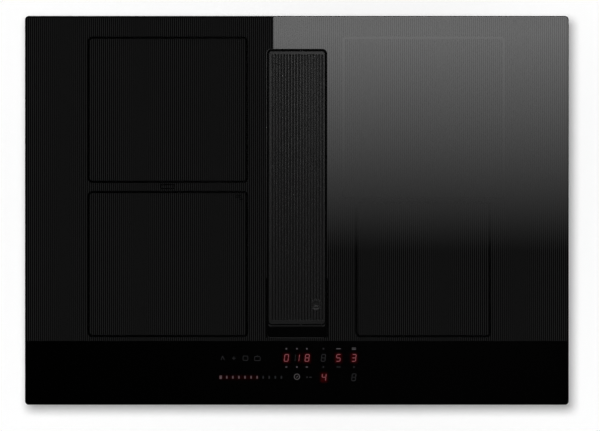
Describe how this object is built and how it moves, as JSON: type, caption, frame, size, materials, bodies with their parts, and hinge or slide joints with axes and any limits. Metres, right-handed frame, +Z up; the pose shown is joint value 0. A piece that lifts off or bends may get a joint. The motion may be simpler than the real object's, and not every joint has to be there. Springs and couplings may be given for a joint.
{
  "type": "downdraft induction cooktop",
  "caption": "Black glass induction cooktop with a tilting ribbed flap over a central air slot, grease filter, radial blower, flat duct outlet and drip tank below.",
  "frame": {"origin": "middle of the worktop cut-out, in the plane of the worktop's top face, which the gasket lies on", "axes": "+X to the cook's right along the glass's long side, +Y to the back of the worktop, +Z up"},
  "size_m": [0.72, 0.515, 0.212],
  "materials": {
    "black_glass": "polished black glass-ceramic with a fine dark grey print",
    "dark_paint": "satin anthracite coat",
    "black_plastic": "fine satin moulding",
    "foam": "closed-cell foam tape",
    "galvanised": "galvanised sheet",
    "spring_steel": "bright",
    "aluminium": "satin",
    "copper": "lacquered litz wire",
    "ferrite": "matte dark grey",
    "board": "solder-resist green",
    "grey_plastic": "satin",
    "rubber": "matte",
    "tank_plastic": "semi-gloss"
  },
  "bodies": {
    "hob": {"glass_top": "black_glass", "worktop_gasket": "foam", "slot_frame": "black_plastic", "throat_liner": "black_plastic", "flap_bush_front": "grey_plastic", "flap_bush_rear": "grey_plastic", "filter_frame": "aluminium", "filter_mesh": "aluminium", "base_pan": "galvanised", "clip_left_front": "spring_steel", "clip_screw_left_front": "galvanised", "clip_left_rear": "spring_steel", "clip_screw_left_rear": "galvanised", "clip_right_front": "spring_steel", "clip_screw_right_front": "galvanised", "clip_right_rear": "spring_steel", "clip_screw_right_rear": "galvanised", "coil_left_rear": "copper", "coil_base_left_rear": "ferrite", "heat_sensor_left_rear": "grey_plastic", "coil_left_front": "copper", "coil_base_left_front": "ferrite", "heat_sensor_left_front": "grey_plastic", "coil_right_rear": "copper", "coil_base_right_rear": "ferrite", "heat_sensor_right_rear": "grey_plastic", "coil_right_front": "copper", "coil_base_right_front": "ferrite", "heat_sensor_right_front": "grey_plastic", "coil_plate_left": "aluminium", "power_board_left": "board", "heat_sink_left": "aluminium", "fan_frame_left": "black_plastic", "coil_plate_right": "aluminium", "power_board_right": "board", "heat_sink_right": "aluminium", "fan_frame_right": "black_plastic", "touch_board": "board", "touch_tray": "black_plastic", "terminal_box": "grey_plastic", "cable_gland": "black_plastic", "plenum_upper": "black_plastic", "inlet_plate": "black_plastic", "inlet_bell": "grey_plastic", "scroll_housing": "black_plastic", "drip_sump": "black_plastic", "duct_spigot": "grey_plastic", "motor_mount": "galvanised", "blower_motor": "galvanised"},
    "flap": {"flap_plate": "dark_paint", "flap_carrier": "black_plastic", "flap_pin_front": "spring_steel", "flap_pin_rear": "spring_steel"},
    "blower_rotor": {"blower_wheel": "black_plastic", "motor_shaft": "spring_steel"},
    "fan_rotor_l": {"fan_rotor_left": "grey_plastic"},
    "fan_rotor_r": {"fan_rotor_right": "grey_plastic"},
    "tank": {"liquid_tank": "tank_plastic", "tank_seal": "rubber"}
  },
  "joints": [
    {"name": "flap_tilt", "type": "hinge", "parent": "hob", "child": "flap", "pos_m": [0.006, 0.0302, -0.0025], "axis": [0, 1, 0], "range_deg": [0, 75]},
    {"name": "blower_spin", "type": "hinge", "parent": "hob", "child": "blower_rotor", "pos_m": [0.16509, 0.03, -0.159], "axis": [0, 0, 1], "continuous": true},
    {"name": "fan_spin_left", "type": "hinge", "parent": "hob", "child": "fan_rotor_l", "pos_m": [-0.192, -0.13, -0.041], "axis": [0, 0, 1], "continuous": true},
    {"name": "fan_spin_right", "type": "hinge", "parent": "hob", "child": "fan_rotor_r", "pos_m": [0.192, -0.13, -0.041], "axis": [0, 0, 1], "continuous": true},
    {"name": "tank_drop", "type": "slide", "parent": "hob", "child": "tank", "axis": [0, 0, -1], "range_m": [0, 0.07]}
  ]
}
